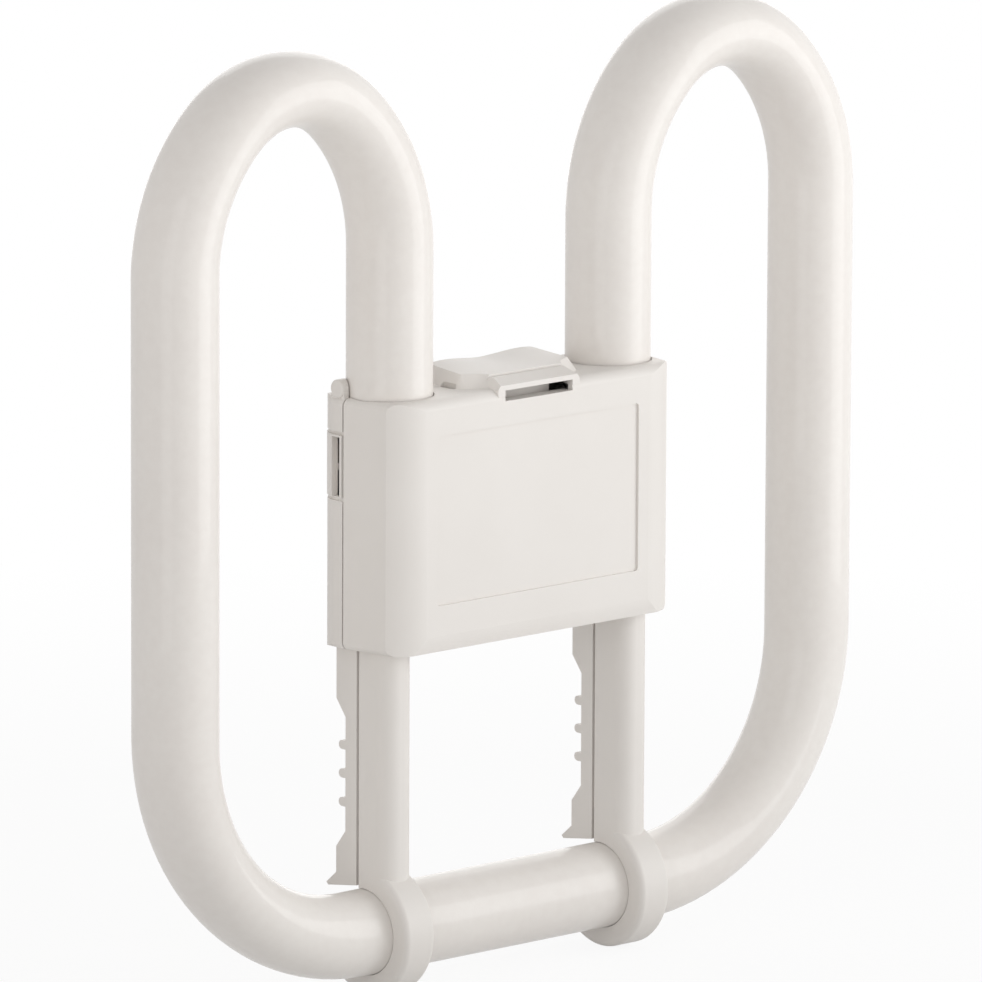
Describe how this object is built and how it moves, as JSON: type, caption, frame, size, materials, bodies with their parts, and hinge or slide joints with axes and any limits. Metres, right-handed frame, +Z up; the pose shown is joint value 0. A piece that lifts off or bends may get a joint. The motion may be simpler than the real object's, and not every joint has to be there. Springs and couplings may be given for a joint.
{
  "type": "square compact fluorescent lamp",
  "caption": "Flat square fluorescent lamp: one glass tube bent into a double loop, held by a moulded plastic block with clip legs and a pin plug behind.",
  "frame": {"origin": "the middle of the plug's face that seats on the holder, which is also the middle of the four pins", "axes": "X across the lamp's width, +Y to the rear along the pins, +Z up from the legs' rings to the tube's arches"},
  "size_m": [0.205, 0.033, 0.2103],
  "materials": {
    "coated_glass": "gloss",
    "housing_plastic": "satin",
    "brass": "satin",
    "wire": "satin",
    "sleeve": "matte",
    "cement": "matte"
  },
  "bodies": {
    "root": {"discharge_tube": "coated_glass", "front_cover": "housing_plastic", "rear_housing": "housing_plastic", "contact_pin_1": "brass", "lead_wire_1": "wire", "lead_sleeve_1": "sleeve", "contact_pin_2": "brass", "lead_wire_2": "wire", "lead_sleeve_2": "sleeve", "contact_pin_3": "brass", "lead_wire_3": "wire", "lead_sleeve_3": "sleeve", "contact_pin_4": "brass", "lead_wire_4": "wire", "lead_sleeve_4": "sleeve", "cement_left": "cement", "cement_right": "cement"}
  },
  "joints": []
}
